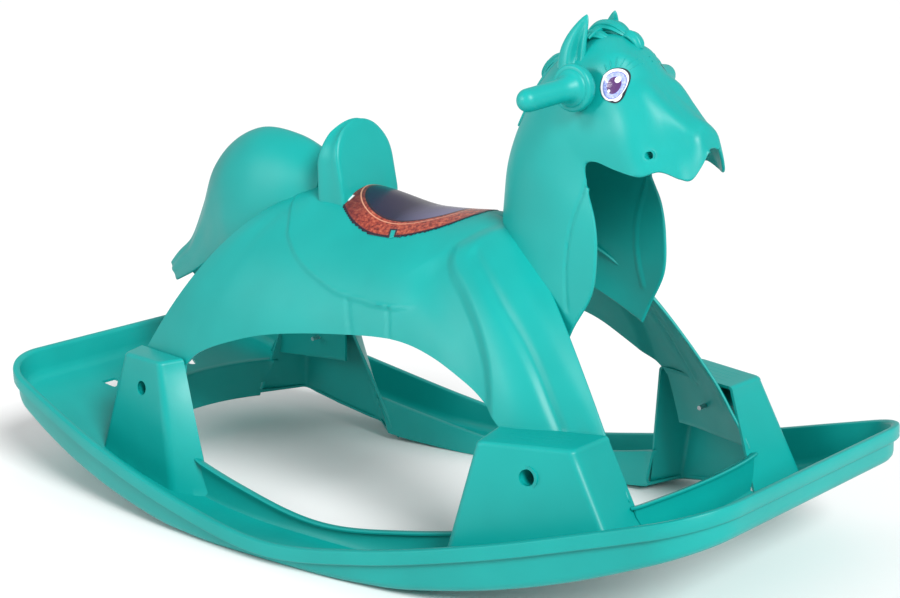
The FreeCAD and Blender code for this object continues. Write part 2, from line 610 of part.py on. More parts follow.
# ---------------------------------------------------------------- labels
def saddle_label():
    """The printed sheet on the seat, an oval seen from above."""
    sheet = thin_skin(body_rows(), LABEL_GAP, LABEL_GAP + LABEL_THICKNESS)
    oval = Part.Ellipse(Vec(LABEL_MIDDLE_X, 0, LABEL_LOWEST), LABEL_HALF_LENGTH, LABEL_HALF_WIDTH).toShape()
    prism = Part.Face(Part.Wire([oval])).extrude(Vec(0, 0, TALL))
    sheet = sheet.common(prism).cut(arched_block(-LABEL_MARGIN))
    return max(sheet.Solids, key=lambda solid: solid.Volume)


def eye_label(side):
    sheet = thin_skin(neck_rows(), LABEL_GAP, LABEL_GAP + LABEL_THICKNESS)
    x, z = EYE_MIDDLE
    return sheet.common(Part.makeCylinder(EYE_R, TALL, Vec(x, 0, z), Vec(0, side, 0))).Solids[0]


def main():
    os.makedirs("parts", exist_ok=True)
    body_skin = thin_skin(body_rows(), -WALL, 0.0)
    save(rocker_base(body_skin), "rocker_base")
    save(body_shell(), "body_shell")
    save(neck_head(), "neck_head")
    save(backrest(), "backrest")
    save(tail(), "tail")
    save(grip_right(), "grip_right")
    save(grip_left(), "grip_left")
    save(grip_lock_screw(), "grip_lock_screw")
    save(leg_screws(FRONT_HOLE[0], body_skin), "front_leg_screws")
    save(leg_screws(REAR_HOLE[0], body_skin), "rear_leg_screws")
    save(upright_screws(NECK_SCREWS, NECK_TONGUE_Z[0]), "neck_screws")
    save(upright_screws(BACKREST_SCREWS, BACKREST_SCREW_Z), "backrest_screws")
    save(upright_screws(TAIL_SCREWS, TAIL_SCREW_Z), "tail_screws")
    save(saddle_label(), "saddle_label")
    save(eye_label(-1), "eye_label_right")
    save(eye_label(1), "eye_label_left")


main()
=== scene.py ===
import math
import bmesh
import bpy
import numpy as np
from mathutils import Matrix, Vector


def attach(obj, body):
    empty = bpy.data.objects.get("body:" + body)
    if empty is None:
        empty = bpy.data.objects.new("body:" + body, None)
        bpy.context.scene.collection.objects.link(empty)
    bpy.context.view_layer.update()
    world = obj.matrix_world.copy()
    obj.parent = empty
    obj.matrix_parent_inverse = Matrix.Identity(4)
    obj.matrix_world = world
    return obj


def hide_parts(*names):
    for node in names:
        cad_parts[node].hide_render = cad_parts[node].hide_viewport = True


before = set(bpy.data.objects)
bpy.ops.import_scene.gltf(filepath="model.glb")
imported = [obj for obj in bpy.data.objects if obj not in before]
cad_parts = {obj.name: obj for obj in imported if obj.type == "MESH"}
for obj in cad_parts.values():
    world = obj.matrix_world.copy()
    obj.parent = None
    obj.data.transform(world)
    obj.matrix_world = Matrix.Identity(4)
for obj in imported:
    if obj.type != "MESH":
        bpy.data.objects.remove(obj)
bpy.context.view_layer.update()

# Lengths below are millimetres in the part's frame, and MM turns them into Blender's metres.
# +X is towards the nose, +Y is the horse's left, and +Z is up from the floor.
MM = 0.001
WALL = 3.0

# ---- camera ----
CAMERA_AT = (1322.6, -1452.9, 654.0)
CAMERA_AZIMUTH, CAMERA_ELEVATION, CAMERA_ROLL = 41.31, 12.70, -1.98
CAMERA_LENS = 80.0

# ---- tray ----
END_X, SIDE_Y, CORNER_R = 462.0, 226.0, 62.0
SIDE_R, CORNER_Y = 2003.3, 122.3         # radius of the bowed sides, and where the corner arcs are centred
RIM_LINE = [(0, 22), (120, 37), (250, 65), (370, 97), (480, 128)]
SOLE_LINE = [(0, 0), (70, 0), (120, 2), (175, 7), (273, 26), (365, 53), (480, 97)]
OPENING = [(174, 149), (336, 93), (350, 0)]           # front half: side end, corner, middle
OPENING_REAR = [(-178, 138), (-322, 100), (-338, 0)]
OPENING_HALF_WIDTH = 150.0
FLOOR_OPENING = [(-424, 68), (-424.5, 62), (-424.5, 49), (-421, 46.5), (-411, 57), (-409.5, 61), (-411.5, 63)]

# ---- pedestals: rear inner, rear outer, front outer and front inner corners, for the horse's left side ----
PEDESTAL_TOP = 146.0
FOOT_Z = -10.0
TOP_ROUND, TOP_INSET = 5.0, 4.5          # height and depth of the rounding round a pedestal's top
FOOT_CORNER_R, TOP_CORNER_R = 7.0, 6.5
FRONT_TOP = [(210, 124), (224, 176), (311, 150), (311, 99)]
FRONT_FOOT = [(163, 168), (182, 196), (390, 152), (367, 77)]
REAR_TOP = [(-219, 122), (-228, 148), (-293, 139), (-302, 109)]
REAR_FOOT = [(-159, 145), (-200, 165), (-335, 162), (-356, 88)]
FRONT_HOLE, REAR_HOLE = (272.0, 118.0), (-258.0, 114.0)
HOLE_R = 7.5
WELL_END_Y = 118.0                       # how far from the middle the screw wells end
LEG_ROOM = 12.0                          # how far a pedestal's hollow opens towards the horse

# ---- shells: crest x, z, edge x, half width, edge z, then how soon y, z and x travel along a rib ----
BODY_RIBS = [
    (-126, 315, -330, 110, 90, 1.70, 2.0, 1.40),
    (-118, 316, -288, 117, 90, 1.80, 1.9, 1.30),
    (-110, 316, -246, 123, 90, 1.85, 1.8, 1.25),
    (-98, 315, -208, 125, 90, 1.90, 1.8, 1.20),
    (-66, 313, -160, 126, 90, 1.90, 1.8, 1.20),
    (-30, 311, -100, 126, 90, 1.90, 1.8, 1.20),
    (6, 309, -22, 126, 90, 1.90, 1.8, 1.20),
    (42, 309, 72, 127, 90, 1.90, 1.8, 1.20),
    (70, 310, 135, 129, 90, 1.90, 1.8, 1.20),
    (88, 311, 180, 130, 90, 1.90, 1.8, 1.15),
    (100, 311, 216, 129, 90, 1.85, 1.8, 1.10),
    (107, 310, 252, 125, 90, 1.80, 1.8, 1.05),
    (112, 309, 292, 114, 90, 1.60, 1.85, 1.00),
    (115, 308, 333, 98, 90, 1.35, 1.9, 1.00),
]
BELLY_ARCH = [(-218, 138), (-196, 155), (-152, 172), (-94, 187), (-10, 198),
              (70, 203), (125, 194), (170, 174), (206, 150), (218, 138)]
ARCH_FEET = ((-226, 60), (236, 60))
NECK_RIBS = [
    (119, 284, 236, 62, 208, 2.0, 1.1, 1.30),
    (119, 306, 246, 62, 228, 2.0, 1.1, 1.30),
    (122, 332, 264, 58, 260, 2.1, 1.1, 1.35),
    (128, 365, 268, 55, 296, 2.2, 1.1, 1.40),
    (140, 394, 265, 53, 326, 2.3, 1.15, 1.45),
    (156, 420, 256, 50, 352, 2.4, 1.2, 1.50),
    (174, 445, 252, 48, 374, 2.5, 1.3, 1.50),
    (197, 467, 264, 48, 379, 2.4, 1.5, 1.50),
    (225, 483, 287, 48, 373, 2.3, 1.7, 1.50),
    (254, 486, 310, 47, 369, 2.2, 1.8, 1.50),
    (280, 471, 327, 40, 374, 2.1, 1.8, 1.50),
    (308, 441, 344, 33, 368, 2.0, 1.8, 1.50),
    (333, 421, 352, 26, 367, 1.9, 1.8, 1.50),
    (350, 411, 357, 17, 378, 1.8, 1.7, 1.50),
    (357, 392, 359, 9, 390, 1.8, 1.3, 1.50),
]
TAIL_RIBS = [(*rib, 2.0, 1.6, 1.0) for rib in (
    (-108, 346, -112, 25, 298),
    (-126, 358, -131, 32, 294),
    (-160, 370, -158, 40, 284),
    (-206, 374, -192, 45, 270),
    (-250, 358, -222, 44, 256),
    (-285, 327, -246, 38, 245),
    (-304, 287, -274, 31, 228),
    (-327, 247, -303, 25, 213),
    (-352, 227, -327, 19, 203),
    (-366, 212, -345, 13, 196),
)]

# ---- lines on the horse's sides, as x, z ----
BLANKET_EDGE = [(-128, 306), (-112, 290), (-103, 278), (-73, 257), (-30, 240), (-3, 234),
                (56, 230), (95, 236)]
GIRTH_REAR = [(0, 234), (16, 198)]
GIRTH_FRONT = [(56, 231), (66, 198)]
SHOULDER_EDGE = [(104, 290), (120, 270), (146, 250), (172, 222), (190, 190), (198, 150), (200, 100)]
SHOULDER_CREASE = [(131, 287), (158, 268), (184, 246), (212, 220), (236, 192), (256, 162), (270, 140)]
LEG_ROLL = [(160, 284), (216, 240), (252, 202), (290, 152), (300, 130)]
NECK_FOLD = [(258, 372), (252, 350), (240, 318), (235, 290), (236, 262), (240, 240)]
NOSE_EDGE = [(300, 455), (306, 440), (318, 428), (335, 414), (350, 404)]
EYE = (277.5, 446.5)
EYE_R = 14.5
EYE_NARROW = 0.88            # width of the eye over its height
EAR_TURN = math.radians(30)
CHEEK_HOLE = (317.0, 387.0)
CHEEK_HOLE_R = 3.5
LABEL_MIDDLE_X, LABEL_HALF_LENGTH, LABEL_HALF_WIDTH = 9.0, 90.0, 61.0
LABEL_REAR_X = -66.0                     # the sheet goes on a little under the back rest
GRIP_AXIS = (246.0, 444.0)
GRIP_END = (234.5, 103.0, 438.0)
GRIP_R, GRIP_FACE_Y = 10.5, 58.0         # the rod's radius, and where it leaves its flange


# ---- maths ----
def catmull(table, count):
    """So many evenly spaced rows on a smooth path through the rows of a table."""
    table = np.asarray(table, float)
    positions = np.linspace(0, len(table) - 1, count)
    i = np.clip(np.floor(positions).astype(int), 0, len(table) - 2)
    f = (positions - i)[:, None]
    before, here = table[np.maximum(i - 1, 0)], table[i]
    there, after = table[i + 1], table[np.minimum(i + 2, len(table) - 1)]
    slope = (there - before) * f
    curve = (2 * before - 5 * here + 4 * there - after) * f ** 2
    twist = (3 * here - before - 3 * there + after) * f ** 3
    return here + 0.5 * (slope + curve + twist)


def line_height(line):
    """A function giving the height of a rocker line at any x, the same towards both ends."""
    both = [(-x, z) for x, z in line[:0:-1]] + list(line)
    dense = catmull(both, 400)
    return lambda x: np.interp(x, dense[:, 0], dense[:, 1])


rim_z = line_height(RIM_LINE)
sole_line = line_height(SOLE_LINE)


def sole_z(x):
    """Height of the tray's underside, flat where it stands on the floor."""
    return np.maximum(sole_line(x), 0.0)


def smoothstep(low, high, value):
    t = np.clip((value - low) / (high - low), 0, 1)
    return t * t * (3 - 2 * t)


def side_distance(points, line):
    """Distance in the side view from points to a line of (x, z), signed: positive above or in front of it,
    and how far along the line the nearest place is, from 0 to 1."""
    dense = catmull(line, 12 * len(line))
    a, b = dense[:-1], dense[1:]
    d = b - a
    p = points[..., None, [0, 2]]
    t = np.clip(((p - a) * d).sum(-1) / (d * d).sum(-1), 0, 1)
    offset = p - (a + t[..., None] * d)
    distance = np.sqrt((offset ** 2).sum(-1))
    k = distance.argmin(-1)
    best = np.take_along_axis(distance, k[..., None], -1)[..., 0]
    cross = d[..., 0] * (p[..., 1] - a[..., 1]) - d[..., 1] * (p[..., 0] - a[..., 0])
    side = np.sign(np.take_along_axis(cross, k[..., None], -1)[..., 0])
    along = (k + np.take_along_axis(t, k[..., None], -1)[..., 0]) / len(a)
    return best * side, along


def groove(points, line, width, depth):
    """A narrow rounded groove along a line, fading out at both ends."""
    distance, along = side_distance(points, line)
    fade = smoothstep(0.0, 0.06, along) * smoothstep(1.0, 0.94, along)
    return -depth * np.exp(-(distance / (0.5 * width)) ** 2) * fade


def dome(points, centre, radii, height):
    """A soft swelling, or a hollow when height is negative, round an (x, z) place on both sides."""
    dx = (points[..., 0] - centre[0]) / radii[0]
    dz = (points[..., 2] - centre[1]) / radii[1]
    return height * np.exp(-(dx * dx + dz * dz))


# ---- meshes ----
def make_object(name, vertices, faces, smooth=True):
    """A mesh object from millimetre points."""
    mesh = bpy.data.meshes.new(name)
    mesh.from_pydata((np.asarray(vertices, float) * MM).tolist(), [], [list(map(int, f)) for f in faces])
    mesh.validate()
    mesh.update()
    obj = bpy.data.objects.new(name, mesh)
    bpy.context.scene.collection.objects.link(obj)
    repair = bmesh.new()
    repair.from_mesh(mesh)
    bmesh.ops.remove_doubles(repair, verts=repair.verts, dist=0.02 * MM)
    bmesh.ops.recalc_face_normals(repair, faces=repair.faces)
    repair.to_mesh(mesh)
    repair.free()
    if smooth:
        mesh.shade_smooth()
    return obj


def grid_normals(grid):
    """Outward unit normals of a shell's grid of points: the crest counts as outside."""
    normal = np.cross(np.gradient(grid, axis=1), np.gradient(grid, axis=0))
    normal /= np.linalg.norm(normal, axis=-1, keepdims=True) + 1e-9
    i, j = grid.shape[0] // 2, grid.shape[1] // 2
    outward = grid[i, j] - 0.5 * (grid[i, 0] + grid[i, -1])
    return normal if (normal[i, j] * outward).sum() > 0 else -normal


def grid_faces(shape):
    """The numbers of a grid's points, its faces, and the numbers round its edge in order."""
    index = np.arange(shape[0] * shape[1]).reshape(shape[:2])
    quads = np.stack([index[:-1, :-1], index[1:, :-1], index[1:, 1:], index[:-1, 1:]], -1).reshape(-1, 4)
    return index, quads, np.concatenate([index[0, :-1], index[:-1, -1], index[-1, :0:-1], index[:0:-1, 0]])


def shell(name, grid, thickness=WALL, rounding=1.0, normals=None):
    """A closed shell from its outer grid; its rim bulges by rounding, and is square when that is 0."""
    inner = grid - (grid_normals(grid) if normals is None else normals) * thickness
    rows, cols = grid.shape[:2]
    count = rows * cols
    _, quads, loop = grid_faces(grid.shape)
    flat, flat_inner = grid.reshape(-1, 3), inner.reshape(-1, 3)
    i, j = np.divmod(loop, cols)
    pull = flat[loop] - grid[np.clip(i, 1, rows - 2), np.clip(j, 1, cols - 2)]
    pull /= np.linalg.norm(pull, axis=1, keepdims=True) + 1e-9
    vertices = [flat, flat_inner]
    faces = [quads, quads[:, ::-1] + count]
    rings = [loop]
    for k, share in enumerate((0.25, 0.5, 0.75) if rounding else ()):
        ring = flat[loop] * (1 - share) + flat_inner[loop] * share
        vertices.append(ring + pull * rounding * math.sin(math.pi * share))
        rings.append(2 * count + k * len(loop) + np.arange(len(loop)))
    rings.append(loop + count)
    for first, second in zip(rings, rings[1:]):
        faces.append(np.stack([first, np.roll(first, -1), np.roll(second, -1), second], -1))
    return make_object(name, np.concatenate(vertices), np.concatenate(faces))


def rib_grid(ribs, rows, cols):
    """A shell's outer grid from its ribs, each row running from the right edge to the left one."""
    stations = catmull(ribs, rows)
    mid_x, mid_z, edge_x, edge_y, edge_z, y_power, z_power, x_power = [stations[:, [k]] for k in range(8)]
    s = np.linspace(-1, 1, cols)
    t = np.abs(s)
    x = mid_x + (edge_x - mid_x) * t ** x_power
    y = np.sign(s) * edge_y * (1 - (1 - t) ** y_power)
    z = mid_z + (edge_z - mid_z) * t ** z_power
    return np.stack([x, y, z], -1)


def closed_loft(name, rings, smooth=True):
    """A closed solid through rings that all have the same number of points."""
    rings = [np.asarray(ring, float) for ring in rings]
    n = len(rings[0])
    faces = [list(range(n))[::-1], [n * (len(rings) - 1) + k for k in range(n)]]
    for r in range(len(rings) - 1):
        for k in range(n):
            following = (k + 1) % n
            faces.append([r * n + k, r * n + following, (r + 1) * n + following, (r + 1) * n + k])
    return make_object(name, np.concatenate(rings), faces, smooth)


def closed_ring(name, rings):
    """A closed surface through rings of points, the last of them meeting the first."""
    rings = np.array(rings)
    index = grid_faces(rings.shape)[0]
    following = np.roll(index, -1, 0)
    faces = np.stack([index, following, np.roll(following, -1, 1), np.roll(index, -1, 1)], -1).reshape(-1, 4)
    return make_object(name, rings.reshape(-1, 3), faces)


def ring_round(centre, across, up, count):
    """Points on an ellipse round a centre, with the half axes across and up."""
    angles = np.linspace(0, 2 * math.pi, count, endpoint=False)
    return centre + np.outer(np.cos(angles), across) + np.outer(np.sin(angles), up)


def round_cutter(x, z, ends, radius, sides):
    """A plain cylinder along Y between two ends."""
    rings = [ring_round((x, y, z), (radius, 0, 0), (0, 0, radius), sides) for y in ends]
    return closed_loft("cutter", rings, smooth=False)


def cut(obj, cutter, folded=False):
    """Cuts another closed object out of one and removes it; folded is for a shell that meets itself."""
    modifier = obj.modifiers.new("cut", "BOOLEAN")
    modifier.object = cutter
    modifier.operation = "DIFFERENCE"
    modifier.solver = "EXACT"
    modifier.use_self = folded
    graph = bpy.context.evaluated_depsgraph_get()
    mesh = bpy.data.meshes.new_from_object(obj.evaluated_get(graph))
    obj.modifiers.clear()
    obj.data = mesh
    bpy.data.objects.remove(cutter)
    return obj


def join(name, pieces):
    """One object from several closed pieces of the same moulding."""
    merged = bmesh.new()
    for piece in pieces:
        merged.from_mesh(piece.data)
        bpy.data.objects.remove(piece)
    mesh = bpy.data.meshes.new(name)
    merged.to_mesh(mesh)
    merged.free()
    obj = bpy.data.objects.new(name, mesh)
    bpy.context.scene.collection.objects.link(obj)
    return obj


def smooth_by_angle(obj, degrees):
    """Smooth shading, with a sharp edge wherever faces turn by more than the angle."""
    obj.data.shade_smooth()
    work = bmesh.new()
    work.from_mesh(obj.data)
    for edge in work.edges:
        turn = edge.calc_face_angle(0.0)
        edge.smooth = turn < math.radians(degrees)
    work.to_mesh(obj.data)
    work.free()


# ---- materials ----
class Nodes:
    """Short helpers for building a material's node tree."""

    def __init__(self, name):
        self.material = bpy.data.materials.new(name)
        self.material.use_nodes = True
        self.tree = self.material.node_tree
        self.shader = self.tree.nodes["Principled BSDF"]
        self.place = self.add("ShaderNodeTexCoord").outputs["Object"]

    def add(self, kind, **settings):
        node = self.tree.nodes.new(kind)
        for key, value in settings.items():
            setattr(node, key, value)
        return node

    def feed(self, value, socket):
        """Gives a socket a number, a colour or what another node puts out."""
        if isinstance(value, tuple):
            socket.default_value = (*value, 1.0)
        elif isinstance(value, (int, float)):
            socket.default_value = value
        else:
            self.tree.links.new(value, socket)

    def surface(self, **values):
        """Feeds the shader's inputs; an underscore stands for a space."""
        for key, value in values.items():
            self.feed(value, self.shader.inputs[key.replace("_", " ")])

    def math(self, operation, *values):
        node = self.add("ShaderNodeMath", operation=operation)
        for socket, value in zip(node.inputs, values):
            self.feed(value, socket)
        return node.outputs[0]

    def length(self, across, up):
        squares = [self.math("MULTIPLY", value, value) for value in (across, up)]
        return self.math("SQRT", self.math("ADD", *squares))

    def axes(self):
        split = self.add("ShaderNodeSeparateXYZ")
        self.feed(self.place, split.inputs[0])
        return split.outputs

    def spread(self, value, low, high):
        """A noise from 0 to 1 spread between two values."""
        node = self.add("ShaderNodeMapRange")
        for key, fed in (("To Min", low), ("To Max", high), ("Value", value)):
            self.feed(fed, node.inputs[key])
        return node.outputs["Result"]

    def noise(self, scale, detail=4.0, roughness=0.5):
        node = self.add("ShaderNodeTexNoise")
        for key, value in (("Scale", scale), ("Detail", detail), ("Roughness", roughness),
                           ("Vector", self.place)):
            self.feed(value, node.inputs[key])
        return node.outputs["Fac"]

    def ramp(self, value, stops):
        node = self.add("ShaderNodeValToRGB")
        elements = node.color_ramp.elements
        while len(elements) < len(stops):
            elements.new(0.5)
        for element, (position, colour) in zip(elements, stops):
            element.position = position
            element.color = (*colour, 1.0)
        self.feed(value, node.inputs["Fac"])
        return node.outputs["Color"]

    def mix(self, share, first, second):
        node = self.add("ShaderNodeMix", data_type="RGBA")
        for socket, value in ((0, share), (6, first), (7, second)):
            self.feed(value, node.inputs[socket])
        return node.outputs[2]

    def band(self, value, middle, half_width, soft):
        """1 inside a band of the value, falling to 0 over soft."""
        away = self.math("ABSOLUTE", self.math("SUBTRACT", value, middle))
        return self.below(away, half_width, soft)

    def below(self, value, limit, soft):
        """1 under a limit of the value, falling to 0 over soft."""
        node = self.add("ShaderNodeMapRange", interpolation_type="SMOOTHSTEP")
        for key, fed in (("From Min", limit - soft), ("From Max", limit + soft), ("To Min", 1.0),
                         ("To Max", 0.0), ("Value", value)):
            self.feed(fed, node.inputs[key])
        return node.outputs["Result"]

    def bump(self, height, strength, distance, below=None):
        node = self.add("ShaderNodeBump")
        for key, value in (("Strength", strength), ("Distance", distance), ("Height", height)):
            self.feed(value, node.inputs[key])
        if below:
            self.feed(below, node.inputs["Normal"])
        return node.outputs["Normal"]


def moulded_plastic():
    """Glossy turquoise moulding: slight flow marks, faint scuffs and a fine skin texture."""
    n = Nodes("moulded_plastic")
    flow = n.noise(9.0, 3.0)
    cloud = n.noise(2.2, 2.0)
    base = n.ramp(flow, [(0.30, (0.000, 0.290, 0.268)), (0.70, (0.001, 0.345, 0.320))])
    base = n.mix(n.math("MULTIPLY", cloud, 0.25), base, (0.000, 0.250, 0.230))
    fine = n.bump(n.noise(900.0, 2.0), 0.10, 0.0002)
    n.surface(Base_Color=base, Roughness=n.spread(n.noise(34.0, 6.0, 0.6), 0.34, 0.48),
              Normal=n.bump(n.noise(26.0, 2.0), 0.12, 0.0012, fine), IOR=1.49,
              Specular_IOR_Level=0.36, Subsurface_Weight=0.06, Subsurface_Scale=0.004)
    return n.material


def screw_metal():
    """Zinc-plated steel with a fine brushed grain."""
    n = Nodes("screw_metal")
    grain = n.noise(1400.0, 3.0)
    n.surface(Base_Color=n.ramp(grain, [(0.3, (0.50, 0.51, 0.53)), (0.7, (0.66, 0.67, 0.69))]),
              Roughness=n.spread(n.noise(500.0, 4.0), 0.25, 0.5), Normal=n.bump(grain, 0.2, 0.0001),
              Metallic=1.0)
    return n.material


def saddle_print():
    """The printed saddle: dark glossy seat and tooled leather band with outlines, and a pale painted highlight
    near the rear.
    """
    n = Nodes("saddle_print")
    x, y, _ = n.axes()
    across = n.math("DIVIDE", n.math("ABSOLUTE", y), LABEL_HALF_WIDTH * MM)
    along = n.math("DIVIDE", n.math("SUBTRACT", x, LABEL_MIDDLE_X * MM), LABEL_HALF_LENGTH * MM)
    radius = n.length(across, along)
    tooled = n.noise(240.0, 5.0, 0.7)
    leather = n.ramp(tooled, [(0.36, (0.09, 0.010, 0.010)), (0.48, (0.27, 0.035, 0.022)),
                              (0.60, (0.44, 0.09, 0.045)), (0.74, (0.60, 0.24, 0.15))])
    rear = n.below(along, -0.42, 0.25)
    leather = n.mix(n.math("MULTIPLY", rear, 0.75), leather, (0.085, 0.008, 0.014))
    seat_shade = n.ramp(along, [(0.0, (0.016, 0.012, 0.040)), (0.7, (0.20, 0.19, 0.34))])
    seat = n.mix(n.math("MULTIPLY", n.noise(30.0), 0.3), seat_shade, (0.012, 0.010, 0.030))
    centre = n.below(radius, 0.66, 0.012)
    colour = n.mix(centre, leather, seat)
    for place, half in ((0.67, 0.014), (0.985, 0.024)):
        colour = n.mix(n.band(radius, place, half, 0.008), colour, (0.012, 0.006, 0.018))
    colour = n.mix(n.band(radius, 0.735, 0.008, 0.006), colour, (0.62, 0.27, 0.17))
    slant = n.math("ADD", along, n.math("MULTIPLY", across, -0.35))
    tabs = n.math("MULTIPLY", n.band(slant, -0.16, 0.055, 0.006), n.math("GREATER_THAN", radius, 0.84))
    colour = n.mix(tabs, colour, (0.03, 0.012, 0.022))
    gap = n.math("MULTIPLY", n.band(slant, -0.16, 0.030, 0.006), n.math("GREATER_THAN", radius, 0.87))
    colour = n.mix(gap, colour, (0.000, 0.320, 0.295))
    # Painted highlight: a pale spot on each side near the rear stands in for a reflection of the lamps on the
    # glossy sheet.
    painted_glint = n.math("MULTIPLY", n.band(along, -0.74, 0.045, 0.01), n.band(across, 0.50, 0.07, 0.02))
    colour = n.mix(painted_glint, colour, (0.90, 0.88, 0.90))
    n.surface(Base_Color=colour, Roughness=n.spread(tooled, 0.14, 0.30), Normal=n.bump(tooled, 0.15, 0.0003))
    return n.material


def eye_print():
    """The printed eye: white, a dark outline, a pale iris, a darker pupil and two glints."""
    n = Nodes("eye_print")
    x, _, z = n.axes()

    def disc(dx, dz, stretch=1.0):
        """Distance from a place beside the eye's middle."""
        across = n.math("MULTIPLY", n.math("SUBTRACT", x, (EYE[0] + dx) * MM), stretch)
        return n.length(across, n.math("SUBTRACT", z, (EYE[1] + dz) * MM))

    outline = n.math("MINIMUM", disc(0.0, 0.0, 1.0 / EYE_NARROW), n.math("ADD", disc(5.4, -9.0), 8.6 * MM))
    iris = disc(0.6, -0.5, 1.0 / EYE_NARROW)
    colour = n.mix(n.below(outline, 13.5 * MM, 0.3 * MM), (0.015, 0.02, 0.03), (0.86, 0.88, 0.92))
    streaks = n.ramp(n.noise(500.0), [(0.35, (0.20, 0.27, 0.66)), (0.65, (0.46, 0.50, 0.88))])
    colour = n.mix(n.below(iris, 11.8 * MM, 0.3 * MM), colour, (0.10, 0.12, 0.42))
    colour = n.mix(n.below(iris, 11.1 * MM, 0.4 * MM), colour, streaks)
    colour = n.mix(n.below(iris, 7.4 * MM, 0.5 * MM), colour, (0.085, 0.028, 0.13))
    colour = n.mix(n.below(disc(3.0, 4.2), 2.5 * MM, 0.3 * MM), colour, (0.95, 0.95, 0.98))
    colour = n.mix(n.below(disc(-3.0, -5.4), 1.3 * MM, 0.3 * MM), colour, (0.95, 0.95, 0.98))
    n.surface(Base_Color=colour, Roughness=n.spread(n.noise(200.0), 0.16, 0.30))
    return n.material


def floor_paint():
    """A plain pale studio floor."""
    n = Nodes("floor_paint")
    paint = n.ramp(n.noise(3.0), [(0.3, (0.90, 0.90, 0.90)), (0.7, (0.93, 0.93, 0.93))])
    n.surface(Base_Color=paint, Roughness=0.7)
    return n.material


PLASTIC = moulded_plastic()
METAL = screw_metal()


def finish_piece(obj, material, slot, *nodes):
    """Gives a piece its material and its body, and hides the CAD nodes it stands for; slot is not used."""
    obj.data.materials.clear()
    obj.data.materials.append(material)
    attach(obj, "root")
    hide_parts(*nodes)
    return obj


# ---- tray ----
def outer_contour():
    """The tray's outer line seen from above, as points and outward normals, anticlockwise from +X."""
    points, normals = [], []
    corner_x = END_X - CORNER_R
    side_centre = SIDE_Y - SIDE_R
    meet = math.atan2(CORNER_Y - side_centre, corner_x)
    for y in np.linspace(0, CORNER_Y, 22, endpoint=False):
        points.append((END_X, y))
        normals.append((1.0, 0.0))
    for angle in np.linspace(0, meet, 18, endpoint=False):
        normals.append((math.cos(angle), math.sin(angle)))
        points.append((corner_x + CORNER_R * math.cos(angle), CORNER_Y + CORNER_R * math.sin(angle)))
    for angle in np.linspace(meet, math.pi / 2, 66, endpoint=False):
        normals.append((math.cos(angle), math.sin(angle)))
        points.append((SIDE_R * math.cos(angle), side_centre + SIDE_R * math.sin(angle)))
    points.append((0.0, SIDE_Y))
    normals.append((0.0, 1.0))
    quarter, turned = np.array(points), np.array(normals)
    half = np.concatenate([quarter, quarter[-2::-1] * (-1, 1)])
    half_n = np.concatenate([turned, turned[-2::-1] * (-1, 1)])
    whole = np.concatenate([half, half[-2:0:-1] * (1, -1)])
    whole_n = np.concatenate([half_n, half_n[-2:0:-1] * (1, -1)])
    return whole, whole_n


def arc_through(start, middle, end, count):
    """Points on the circle through three points, from start towards end."""
    (ax, ay), (bx, by), (cx, cy) = start, middle, end
    d = 2 * (ax * (by - cy) + bx * (cy - ay) + cx * (ay - by))
    a2, b2, c2 = ax * ax + ay * ay, bx * bx + by * by, cx * cx + cy * cy
    ux = (a2 * (by - cy) + b2 * (cy - ay) + c2 * (ay - by)) / d
    uy = (a2 * (cx - bx) + b2 * (ax - cx) + c2 * (bx - ax)) / d
    first = math.atan2(ay - uy, ax - ux)
    last = math.atan2(cy - uy, cx - ux)
    turn = (last - first + math.pi) % (2 * math.pi) - math.pi
    angles = first + turn * np.linspace(0, 1, count)
    r = math.hypot(ax - ux, ay - uy)
    return np.stack([ux + r * np.cos(angles), uy + r * np.sin(angles)], -1)


def opening_contour(outer):
    """The opening's line, one point for each point of the outer line."""
    (sx, sy), (fx, fy), (mx, _) = OPENING
    (tx, ty), (rx, ry), (nx, _) = OPENING_REAR
    dense = np.concatenate([
        arc_through((fx, -fy), (mx, 0), (fx, fy), 60),
        np.linspace((fx, fy), (sx, sy), 40),
        arc_through((sx, sy), (0, OPENING_HALF_WIDTH), (tx, ty), 80),
        np.linspace((tx, ty), (rx, ry), 40),
        arc_through((rx, ry), (nx, 0), (rx, -ry), 60),
        np.linspace((rx, -ry), (tx, -ty), 40),
        arc_through((tx, -ty), (0, -OPENING_HALF_WIDTH), (sx, -sy), 80),
        np.linspace((sx, -sy), (fx, -fy), 40)])
    scale = np.array([END_X / 340.0, SIDE_Y / OPENING_HALF_WIDTH])
    dense_angle = np.arctan2(dense[:, 1] * scale[1], dense[:, 0] * scale[0])
    order = np.argsort(dense_angle)
    angle = np.arctan2(outer[:, 1], outer[:, 0])
    x = np.interp(angle, dense_angle[order], dense[order, 0], period=2 * math.pi)
    y = np.interp(angle, dense_angle[order], dense[order, 1], period=2 * math.pi)
    inner = np.stack([x, y], -1)
    tangent = np.roll(inner, -1, 0) - np.roll(inner, 1, 0)
    tangent /= np.linalg.norm(tangent, axis=1, keepdims=True)
    return inner, np.stack([tangent[:, 1], -tangent[:, 0]], -1)


